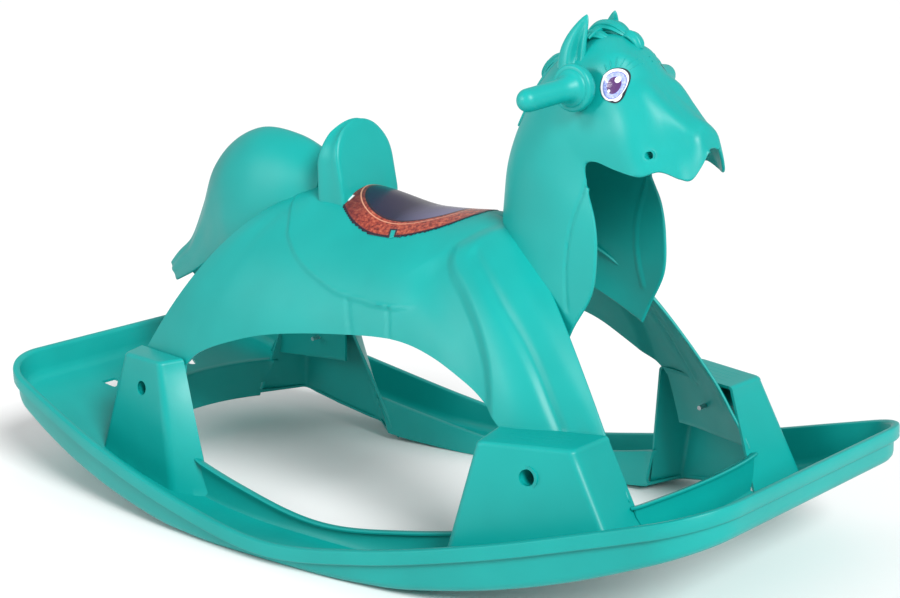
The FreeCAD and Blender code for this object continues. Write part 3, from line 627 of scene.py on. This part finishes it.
# sections of the tray as (distance from the outer line or the opening line, height over "rim" or "sole")
OUTER_TOP = [(-5.0, "rim", -13.0), (-5.0, "rim", -3.0), (-4.3, "rim", -1.0), (-2.6, "rim", 0.0),
             (1.2, "rim", 0.0), (2.5, "rim", -0.8), (3.0, "rim", -3.0), (3.4, "sole", 13.0),
             (4.6, "sole", 7.0), (7.2, "sole", 4.0), (11.0, "sole", 3.0)]
INNER_TOP = [(12.0, "sole", 3.0), (6.5, "sole", 4.2), (3.8, "sole", 8.0), (3.2, "rim", -7.5),
             (3.2, "rim", -5.0), (7.0, "rim", -5.0), (7.2, "rim", -3.4), (6.0, "rim", -2.2),
             (1.4, "rim", -2.0), (0.3, "rim", -2.8), (0.0, "rim", -4.5), (0.0, "sole", 3.0),
             (0.8, "sole", 0.6), (2.6, "sole", 0.0)]
OUTER_UNDER = [(9.0, "sole", 0.0), (4.0, "sole", 1.2), (1.2, "sole", 4.0), (0.2, "sole", 8.0),
               (0.0, "rim", -12.5), (0.0, "rim", -4.0), (-1.8, "rim", -4.0), (-2.0, "rim", -13.0),
               (-2.6, "rim", -13.8), (-4.3, "rim", -13.8)]
FLOOR_STEPS = 8


def section_point(base, outward, distance, line, lift):
    """One ring of the tray: every point of a contour moved in by distance and set to its height."""
    xy = base - outward * distance
    height = rim_z(xy[:, 0]) if line == "rim" else sole_z(xy[:, 0])
    return np.column_stack([xy, height + lift])


def tray():
    outer, outward = outer_contour()
    inner, opening_out = opening_contour(outer)
    rings = [section_point(outer, outward, *row) for row in OUTER_TOP]
    floor_end = section_point(inner, -opening_out, *INNER_TOP[0])
    for share in np.linspace(0, 1, FLOOR_STEPS + 1)[1:-1]:
        ring = rings[len(OUTER_TOP) - 1] * (1 - share) + floor_end * share
        ring[:, 2] = sole_z(ring[:, 0]) + WALL
        rings.append(ring)
    rings += [section_point(inner, -opening_out, *row) for row in INNER_TOP]
    under_start = rings[-1]
    under_end = section_point(outer, outward, *OUTER_UNDER[0])
    for share in np.linspace(0, 1, FLOOR_STEPS + 1)[1:-1]:
        ring = under_start * (1 - share) + under_end * share
        ring[:, 2] = sole_z(ring[:, 0])
        rings.append(ring)
    rings += [section_point(outer, outward, *row) for row in OUTER_UNDER]
    return closed_ring("tray", rings)


def pedestal_corners(top, foot, z, side, inset=0.0, room=0.0):
    """The four corners of a pedestal's level section, pulled in by inset, its inner side moved by room."""
    share = (z - FOOT_Z) / (PEDESTAL_TOP - FOOT_Z)
    corners = np.array(foot, float) * (1 - share) + np.array(top, float) * share
    centre_x = corners[:, 0].mean()
    corners[:, 0] -= inset * np.sign(corners[:, 0] - centre_x)
    corners[[1, 2], 1] -= inset
    corners[[0, 3], 1] -= room
    corners[:, 1] *= side
    return corners


def fillet_path(corners, radius, straight):
    """A path through rear inner, rear outer, front outer and front inner corners, the outer two rounded."""
    a, b, c, d = corners
    path = []
    start = a
    for before, corner, after in ((a, b, c), (b, c, d)):
        u = (before - corner) / np.linalg.norm(before - corner)
        v = (after - corner) / np.linalg.norm(after - corner)
        near, far = corner + u * radius, corner + v * radius
        path += list(np.linspace(start, near, straight, endpoint=False))
        for t in np.linspace(0, 1, 8, endpoint=False):
            path.append((1 - t) ** 2 * near + 2 * t * (1 - t) * corner + t * t * far)
        start = far
    path += list(np.linspace(start, d, straight))
    return np.array(path)


def pedestal(name, top, foot, side, hole):
    """One pedestal, three tapering walls and a top, open towards the horse, and its wall's y at the hole."""
    shoulder = PEDESTAL_TOP - TOP_ROUND
    rows = []
    straight = 9
    for z in np.linspace(0, shoulder, 16):
        path = fillet_path(pedestal_corners(top, foot, z, side), FOOT_CORNER_R, straight)
        rows.append(np.column_stack([path, np.maximum(z, sole_z(path[:, 0]) + 0.4)]))
    for turn in np.radians(np.linspace(15, 90, 6)):
        corners = pedestal_corners(top, foot, shoulder, side, TOP_INSET * (1 - math.cos(turn)))
        path = fillet_path(corners, TOP_CORNER_R, straight)
        rows.append(np.column_stack([path, np.full(len(path), shoulder + TOP_ROUND * math.sin(turn))]))
    rim = rows[-1]
    inner_line = np.linspace(rim[0], rim[-1], len(rim))
    for share in (0.25, 0.5, 0.75, 1.0):
        rows.append(rim * (1 - share) + inner_line * share)
    grid = np.array(rows)
    normals = grid_normals(grid)
    normals *= np.sign(normals[4, grid.shape[1] // 2, 1] * side)
    wall = shell(name, grid, rounding=0, normals=normals)
    x, z = hole
    low, high = (0.5 * (line[1][1] + line[2][1]) for line in (foot, top))
    outer_y = side * np.interp(z, (FOOT_Z, PEDESTAL_TOP), (low, high))
    return cut(wall, round_cutter(x, z, (outer_y - 40, outer_y + 40), HOLE_R, 32)), outer_y


def screw_well(x, z, mouth_y, side, length, radius=HOLE_R, wall=WALL, bore=2.3):
    """The tube behind a hole, with a floor that a screw can sit on."""
    profile = [(radius + wall, length), (radius + wall, 1.0), (radius, 1.0), (radius, length - wall),
               (bore, length - wall), (bore, length - 0.2)]
    return closed_ring("well", [ring_round((x, mouth_y - side * depth, z), (r, 0, 0), (0, 0, r), 32)
                                for r, depth in profile])


def foot_grips(top, side):
    """Low anti-slip bars on a pedestal's top."""
    bars = []
    a, b, c, d = [np.array(p, float) for p in top]
    for share in (0.24, 0.40, 0.56, 0.72):
        start = (a * (1 - share) + b * share) * (1, side)
        end = (d * (1 - share) + c * share) * (1, side)
        line = (end - start) / np.linalg.norm(end - start)
        start, end = start + line * 10, end - line * 10
        across = np.array([-line[1], line[0]]) * 1.3
        rings = []
        for t in np.linspace(0, 1, 14):
            centre = start + (end - start) * t
            height = 0.5 * math.sqrt(max(1 - (2 * t - 1) ** 8, 0.02))
            ring = [(*(centre + across * w), PEDESTAL_TOP - 0.4 + height * h)
                    for w, h in ((-1, 0), (-0.7, 0.8), (0, 1.1), (0.7, 0.8), (1, 0))]
            rings.append(ring + [(*centre, PEDESTAL_TOP - 1.2)])
        bars.append(closed_loft("bar", rings))
    return bars


def hollow_cutter(top, foot, side):
    """The space inside a pedestal, down through the floor of the tray."""
    rings = []
    for z in (FOOT_Z, PEDESTAL_TOP - 20.0):
        corners = pedestal_corners(top, foot, z, side, WALL, LEG_ROOM)
        rings.append([(x, y, z) for x, y in corners])
    return closed_loft("hollow", rings, smooth=False)


def rocker_base():
    base = tray()
    pieces = []
    for label, top, foot, hole in (("front", FRONT_TOP, FRONT_FOOT, FRONT_HOLE),
                                   ("rear", REAR_TOP, REAR_FOOT, REAR_HOLE)):
        for side in (-1, 1):
            cut(base, hollow_cutter(top, foot, side))
            piece, mouth_y = pedestal(label, top, foot, side, hole)
            pieces += [piece, screw_well(*hole, mouth_y, side, abs(mouth_y) - WELL_END_Y)]
            if label == "front":
                pieces += foot_grips(top, side)
    for side in (-1, 1):
        rings = [[(x, side * y, z) for x, y in FLOOR_OPENING] for z in (40, 120)]
        cut(base, closed_loft("opening", rings, smooth=False))
    whole = join("rocker_base_moulding", [base] + pieces)
    smooth_by_angle(whole, 40)
    return finish_piece(whole, PLASTIC, "teal_shell", "rocker_base")


# ---- horse ----
BODY_ROWS, BODY_COLS = 280, 221


def belly_space():
    """The arch between the front and rear legs, right across the horse."""
    arch = catmull(BELLY_ARCH, 110)
    outline = [ARCH_FEET[0]] + [tuple(point) for point in arch] + [ARCH_FEET[1]]
    return closed_loft("belly", [[(x, y, z) for x, z in outline] for y in (-250, 250)], smooth=False)


def body_relief(points):
    """How far the moulded details stand out from, or sink into, the plain body."""
    outer = smoothstep(8, 40, np.abs(points[..., 1]))
    distance, along = side_distance(points, BLANKET_EDGE)
    fade = smoothstep(1.0, 0.86, along)
    relief = 1.6 * smoothstep(-1.0, 1.0, distance) * smoothstep(120, 30, distance) * fade
    relief += 0.9 * np.exp(-(distance / 1.6) ** 2) * fade
    relief += groove(points, GIRTH_REAR, 2.6, 1.3) + groove(points, GIRTH_FRONT, 2.6, 1.0)
    distance, along = side_distance(points, SHOULDER_EDGE)
    strength = smoothstep(0.0, 0.12, along)
    front = smoothstep(-7, 7, distance) * smoothstep(90, 20, distance)
    flank = np.exp(-((distance + 20) / 20) ** 2)
    relief += (5.0 * front - 3.0 * flank) * strength
    relief += groove(points, SHOULDER_CREASE, 9.0, 2.6)
    distance, along = side_distance(points, LEG_ROLL)
    relief += 2.2 * np.exp(-(distance / 9.0) ** 2) * smoothstep(0.0, 0.2, along)
    cantle = 11.0 * smoothstep(28, -62, points[..., 0]) * smoothstep(-150, -96, points[..., 0])
    cantle *= np.exp(-(points[..., 1] / 46.0) ** 2) * smoothstep(255, 285, points[..., 2])
    return relief * outer + cantle


def body():
    grid = rib_grid(BODY_RIBS, BODY_ROWS, BODY_COLS)
    grid = grid + grid_normals(grid) * body_relief(grid)[..., None]
    piece = cut(shell("body_moulding", grid), belly_space())
    smooth_by_angle(piece, 50)
    finish_piece(piece, PLASTIC, "teal_shell", "body_shell")
    return grid


def neck_relief(points):
    side = smoothstep(6, 22, np.abs(points[..., 1]))
    relief = groove(points, NECK_FOLD, 2.6, 1.2)
    relief += dome(points, EYE, (24, 20), -2.2)
    relief += dome(points, (284, 470), (22, 7), 2.2)
    relief += dome(points, (262, 462), (16, 12), 1.8)
    distance, along = side_distance(points, NOSE_EDGE)
    relief += 3.0 * np.exp(-(distance / 9.0) ** 2) * smoothstep(0.0, 0.25, along)
    relief += dome(points, (327, 392), (17, 17), -4.0)
    relief += dome(points, (350, 392), (10, 22), 1.0)
    relief += dome(points, (286, 400), (34, 26), 2.0)
    hole = np.hypot(points[..., 0] - CHEEK_HOLE[0], points[..., 2] - CHEEK_HOLE[1])
    relief += 0.5 * np.exp(-((hole - 5.0) / 1.2) ** 2)
    return relief * side


def neck():
    grid = rib_grid(NECK_RIBS, 240, 181)
    grid = grid + grid_normals(grid) * neck_relief(grid)[..., None]
    piece = shell("neck_plain", grid)
    x, z = CHEEK_HOLE
    cut(piece, round_cutter(x, z, (-90, 90), CHEEK_HOLE_R, 24), folded=True)
    parts = [piece] + ears() + mane() + forelock() + lashes(grid)
    for side in (-1, 1):
        mouth_y = on_surface(grid, x, z, side)[0][1]
        parts.append(screw_well(x, z, mouth_y, side, 9.0, CHEEK_HOLE_R, 1.4, 0.1))
    whole = join("neck_and_head_moulding", parts)
    smooth_by_angle(whole, 50)
    finish_piece(whole, PLASTIC, "teal_shell", "neck_head")
    return grid


def ears():
    """Two broad pointed ears, each hollowed on its front."""
    made = []
    angles = np.linspace(0, 2 * math.pi, 48, endpoint=False)
    for side in (-1, 1):
        foot, tip = np.array((225, side * 28, 458.0)), np.array((238, side * 21, 505.5))
        wide = np.array((math.cos(EAR_TURN), -side * 0.35 * math.sin(EAR_TURN), 0.0))
        deep = np.array((math.sin(EAR_TURN) * 0.8, side * math.cos(EAR_TURN), 0.0))
        rings = []
        for t in np.linspace(0, 1, 30):
            bow = math.sin(math.pi * t)
            centre = foot + (tip - foot) * t + np.array((-3.0 * bow, side * 2.0 * bow, 0))
            width = 15.5 * (1 - t ** 1.9) ** 0.72 + 0.5
            depth = 9.0 * (1 - t) ** 0.75 + 0.6
            fold = np.exp(-((np.cos(angles) - 0.30) / 0.34) ** 2) * np.maximum(np.sin(angles), 0) ** 0.5
            out = np.sin(angles) - 1.05 * fold * math.sin(math.pi * min(t * 1.1 + 0.05, 1)) ** 0.5
            rings.append(centre + np.outer(np.cos(angles) * width, wide) + np.outer(out * depth, deep))
        made.append(closed_loft("ear", rings))
    return made


def lock(path, width, height, fins=0):
    """A tapering lock of hair along a path of centres, rounded across, with fine ridges."""
    path = catmull(path, 30)
    tangent = np.gradient(path, axis=0)
    tangent /= np.linalg.norm(tangent, axis=1, keepdims=True)
    angles = np.linspace(0, 2 * math.pi, 32, endpoint=False)
    ridge = 1 + 0.10 * np.cos(fins * angles) if fins else 1.0
    rings = []
    for k, (centre, way) in enumerate(zip(path, tangent)):
        t = k / (len(path) - 1)
        across = np.cross(way, (0, 0, 1.0))
        across /= np.linalg.norm(across) + 1e-9
        up = np.cross(across, way)
        size = math.sin(math.pi * (0.08 + 0.90 * t)) ** 0.55
        rings.append(centre + np.outer(np.cos(angles) * ridge, across * width * size)
                     + np.outer(np.sin(angles) * ridge, up * height * size))
    return closed_loft("lock", rings)


def mane():
    """Two short overlapping locks behind the crest, and a raised parting edge along it."""
    crest = catmull(NECK_RIBS, 200)[:, :2]
    made = []
    for start, end, size in ((0.49, 0.41, 7.0), (0.40, 0.33, 5.5)):
        base = [crest[int(p)] for p in np.linspace(start, end, 4) * (len(crest) - 1)]
        bow = [math.sin(math.pi * k / 3) for k in range(4)]
        path = [(x - 1 - 3 * bow[k], 5.0 + 2 * k, z + 1.0 + 1.5 * bow[k]) for k, (x, z) in enumerate(base)]
        made.append(lock(path, size + 2, size - 1, fins=7))
    parting = [(x + 3, -9.0, z - 1.5) for x, z in crest[60:112:8]]
    made.append(lock(parting, 1.6, 2.2))
    return made


def forelock():
    """The tuft between the ears, swept forwards in ribbed locks to a small lump over the brow."""
    made = [
        lock([(218, 6, 481), (232, 8, 491), (248, 9, 491), (262, 9, 484)], 11.0, 6.5, fins=9),
        lock([(222, -6, 480), (232, -7, 485), (242, -7, 485), (252, -6, 482)], 8.0, 5.0, fins=7),
        lock([(254, 8, 483), (263, 9, 485), (271, 9, 480), (276, 8, 473)], 6.5, 5.0, fins=5),
    ]
    for k in range(4):
        x = 226.0 + 4.2 * k
        band = [(x, -20, 481 + k), (x + 1, -8, 487 + k), (x + 1, 6, 487 + k), (x, 19, 482 + k)]
        made.append(lock(band, 1.5, 2.2))
    return made


def lashes(grid):
    """Short raised lashes above each eye."""
    made = []
    for side in (-1, 1):
        for k in range(6):
            angle = math.radians(128 - k * 15)
            curve = [(EYE[0] + r * EYE_NARROW * math.cos(angle), EYE[1] + r * math.sin(angle))
                     for r in np.linspace(EYE_R + 1.0, EYE_R + 9.5 - abs(k - 2.5), 6)]
            path = [on_surface(grid, x, z, side)[0] for x, z in curve]
            made.append(lock(path, 0.5, 0.8))
    return made


def on_surface(grid, x, z, side):
    """The place and outward normal of a shell over a point of the side view, on one side."""
    half = slice(0, grid.shape[1] // 2) if side < 0 else slice(grid.shape[1] // 2 + 1, grid.shape[1])
    near, near_normal = grid[:, half], grid_normals(grid)[:, half]
    distance = (near[..., 0] - x) ** 2 + (near[..., 2] - z) ** 2
    weight = 1.0 / (distance + 0.5) ** 3
    y = (near[..., 1] * weight).sum() / weight.sum()
    normal = (near_normal * weight[..., None]).sum((0, 1))
    return np.array((x, y, z)), normal / np.linalg.norm(normal)


def tail():
    """A shell that widens and falls from the back, with faint strands and a lip at its tip."""
    grid = rib_grid(TAIL_RIBS, 150, 121)
    s = np.linspace(-1, 1, 121)
    t = np.linspace(0, 1, 150)[:, None]
    strands = 0.9 * np.cos(s * 16 + 3 * t) * smoothstep(0.25, 0.8, t)
    flare = 1.6 * smoothstep(0.86, 1.0, t)
    grid = grid + grid_normals(grid) * (strands * 0.6 + flare)[..., None]
    return finish_piece(shell("tail_moulding", grid), PLASTIC, "teal_shell", "tail")


def backrest():
    """A rounded block: its outline from behind is an arch, and its sides are slightly hollow."""
    half, top, shoulder, foot = 41.0, 391.0, 350.0, 276.0
    turn = np.radians(np.linspace(180, 0, 61))
    arch = np.array([(-half, z) for z in np.linspace(foot, shoulder, 22, endpoint=False)]
                    + list(zip(half * np.cos(turn), shoulder + (top - shoulder) * np.sin(turn)))
                    + [(half, z) for z in np.linspace(shoulder, foot, 23)[1:]])
    centre = np.array((0.0, foot))
    # how large each ring of the arch is, and how far it lies from the rear face to the front one
    profile = [(0.35, 0.0), (0.70, 0.0), (0.90, 0.0), (0.965, 0.012), (0.99, 0.05), (1.0, 0.12), (0.985, 0.3),
               (0.978, 0.5), (0.985, 0.7), (1.0, 0.88), (0.99, 0.95), (0.965, 0.99), (0.90, 1.0), (0.70, 0.975),
               (0.35, 0.955)]
    rings = []
    for scale, share in profile:
        yz = centre + (arch - centre) * scale
        rear_x = np.interp(yz[:, 1], (foot, 350, 380, 391), (-93, -91, -84, -77))
        front_x = np.interp(yz[:, 1], (foot, 318, 360, 391), (-55, -55, -62, -68))
        rings.append(np.column_stack([rear_x + (front_x - rear_x) * share, yz]))
    rings = np.array(rings)
    index, quads, _ = grid_faces(rings.shape)
    faces = list(quads) + [index[0], index[-1, ::-1], index[::-1, 0], index[:, -1]]
    piece = make_object("backrest_moulding", rings.reshape(-1, 3), faces)
    smooth_by_angle(piece, 45)
    return finish_piece(piece, PLASTIC, "teal_shell", "backrest")


def grip(side, node):
    """A flange with stepped rings and a rod that leans out, with a round end."""
    x, z = GRIP_AXIS
    # radius and distance from the middle of each ring of the flange
    profile = [(2.0, 40.0), (19.0, 46.0), (21.2, 50.0), (21.5, 51.0), (21.5, 55.4), (20.6, 57.4), (18.8, 58.0),
               (17.0, 58.0), (16.6, 58.8), (15.8, 59.6), (14.2, 60.2), (12.6, 61.6), (11.4, 64.0), (10.8, 67.0),
               (GRIP_R, 71.0)]
    end = np.array(GRIP_END) * (1, side, 1)
    start = np.array((x, side * GRIP_FACE_Y, z))
    length = np.linalg.norm(end - start)
    lean = (end - start) / length
    across = np.array((1.0, 0, 0)) - lean * lean[0]
    across /= np.linalg.norm(across)
    up = -side * np.cross(lean, across)
    rings = []
    for r, y in profile:
        share = smoothstep(60.0, 71.0, y)
        centre = np.array((x, side * y, z)) * (1 - share) + (start + lean * (y - GRIP_FACE_Y)) * share
        rings.append(ring_round(centre, (r, 0, 0), (0, 0, r), 48))
    for along in np.linspace(15.0, length, 18):
        rings.append(ring_round(start + lean * along, GRIP_R * across, GRIP_R * up, 48))
    for turn in np.linspace(0, math.pi / 2, 12)[1:]:
        r = max(GRIP_R * math.cos(turn), 0.05)
        rings.append(ring_round(end + lean * 10.4 * math.sin(turn), r * across, r * up, 48))
    piece = closed_loft(node + "_moulding", rings)
    smooth_by_angle(piece, 50)
    return finish_piece(piece, PLASTIC, "teal_shell", node)


# ---- labels ----
def saddle_label(grid):
    """The oval printed sheet, lying on the body's own surface."""
    middle = grid[:, BODY_COLS // 2]
    rows = [i for i in range(len(grid)) if abs(middle[i, 0] - LABEL_MIDDLE_X) < LABEL_HALF_LENGTH * 1.02]
    sheet = []
    for line in grid[rows]:
        radius = np.hypot((line[:, 0] - LABEL_MIDDLE_X) / LABEL_HALF_LENGTH, line[:, 1] / LABEL_HALF_WIDTH)
        inside = np.where(radius <= 1.0)[0]
        if len(inside) >= 4:
            places = np.linspace(inside[0], inside[-1], 61)
            sheet.append(np.column_stack([np.interp(places, np.arange(BODY_COLS), axis) for axis in line.T]))
    sheet = np.array(sheet)
    sheet = sheet[sheet[:, :, 0].mean(1) > LABEL_REAR_X]
    sheet = sheet + grid_normals(sheet) * 0.75
    piece = shell("saddle_label_sheet", sheet, 0.6, 0.15)
    return finish_piece(piece, saddle_print(), "label_film", "saddle_label")


def eye_label(grid, side, node):
    """A round printed sheet on one side of the head."""
    rings = []
    for r in np.linspace(0.6, EYE_R - 0.4, 12):
        ring = []
        for angle in np.linspace(0, 2 * math.pi, 64, endpoint=False):
            stretch = 1.0 + 0.26 * max(0.0, math.cos(angle + math.radians(52))) ** 8
            place, normal = on_surface(grid, EYE[0] + r * stretch * math.cos(angle) * EYE_NARROW,
                                       EYE[1] + r * stretch * math.sin(angle), side)
            ring.append(place + normal * 0.55)
        rings.append(ring)
    rings = np.array(rings)
    under = rings - (0.0, side * 0.9, 0.0)
    piece = closed_loft(node + "_sheet", [*rings, *under[::-1]])
    smooth_by_angle(piece, 50)
    return finish_piece(piece, EYE_PRINT, "label_film", node)


EYE_PRINT = eye_print()


# ---- scene ----
def camera():
    azimuth, elevation, roll = map(math.radians, (CAMERA_AZIMUTH, CAMERA_ELEVATION, CAMERA_ROLL))
    level = math.cos(elevation)
    back = Vector((math.sin(azimuth) * level, -math.cos(azimuth) * level, math.sin(elevation)))
    right = (-back).cross(Vector((0, 0, 1))).normalized()
    up = right.cross(-back)
    right_rolled = right * math.cos(roll) + up * math.sin(roll)
    up_rolled = up * math.cos(roll) - right * math.sin(roll)
    data = bpy.data.cameras.new("camera")
    data.lens = CAMERA_LENS
    data.sensor_width = 36.0
    obj = bpy.data.objects.new("camera", data)
    bpy.context.scene.collection.objects.link(obj)
    turn = Matrix((right_rolled, up_rolled, back)).transposed().to_4x4()
    obj.matrix_world = Matrix.Translation(Vector(CAMERA_AT) * MM) @ turn
    bpy.context.scene.camera = obj


def lamp(name, kind, place, target, power, **settings):
    data = bpy.data.lights.new(name, kind)
    data.energy = power
    for key, value in settings.items():
        setattr(data, key, value)
    obj = bpy.data.objects.new(name, data)
    obj.location = place
    obj.rotation_euler = (Vector(target) - Vector(place)).to_track_quat("-Z", "Y").to_euler()
    bpy.context.scene.collection.objects.link(obj)


def studio():
    reach = 9000
    corners = [(-reach, -reach, 0), (reach, -reach, 0), (reach, reach, 0), (-reach, reach, 0)]
    floor = make_object("studio_floor", corners, [[0, 1, 2, 3]])
    floor.data.materials.append(floor_paint())
    world = bpy.data.worlds.new("studio")
    bpy.context.scene.world = world
    world.use_nodes = True
    sky = world.node_tree.nodes["Background"].inputs
    sky["Color"].default_value = (1.0, 1.0, 1.0, 1.0)
    sky["Strength"].default_value = 0.55
    lamp("key", "SUN", (2.2, -0.9, 1.75), (0.0, 0.0, 0.2), 3.6, angle=math.radians(22))
    lamp("fill", "AREA", (-1.6, -2.4, 1.3), (0.0, 0.0, 0.2), 20, shape="DISK", size=1.4)
    lamp("neck_light", "SPOT", (-0.5, -2.2, 1.2), (0.25, 0.0, 0.42), 130, spot_size=math.radians(15),
         spot_blend=1.0, shadow_soft_size=0.25)


bpy.context.scene.view_settings.view_transform = "Standard"
camera()
studio()
rocker_base()
body_surface = body()
neck_surface = neck()
tail()
backrest()
grip(-1, "grip_right")
grip(1, "grip_left")
saddle_label(body_surface)
eye_label(neck_surface, -1, "eye_label_right")
eye_label(neck_surface, 1, "eye_label_left")
for node in ("grip_lock_screw", "front_leg_screws", "rear_leg_screws", "neck_screws", "backrest_screws",
             "tail_screws"):
    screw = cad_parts[node]
    screw.data.materials.clear()
    screw.data.materials.append(METAL)
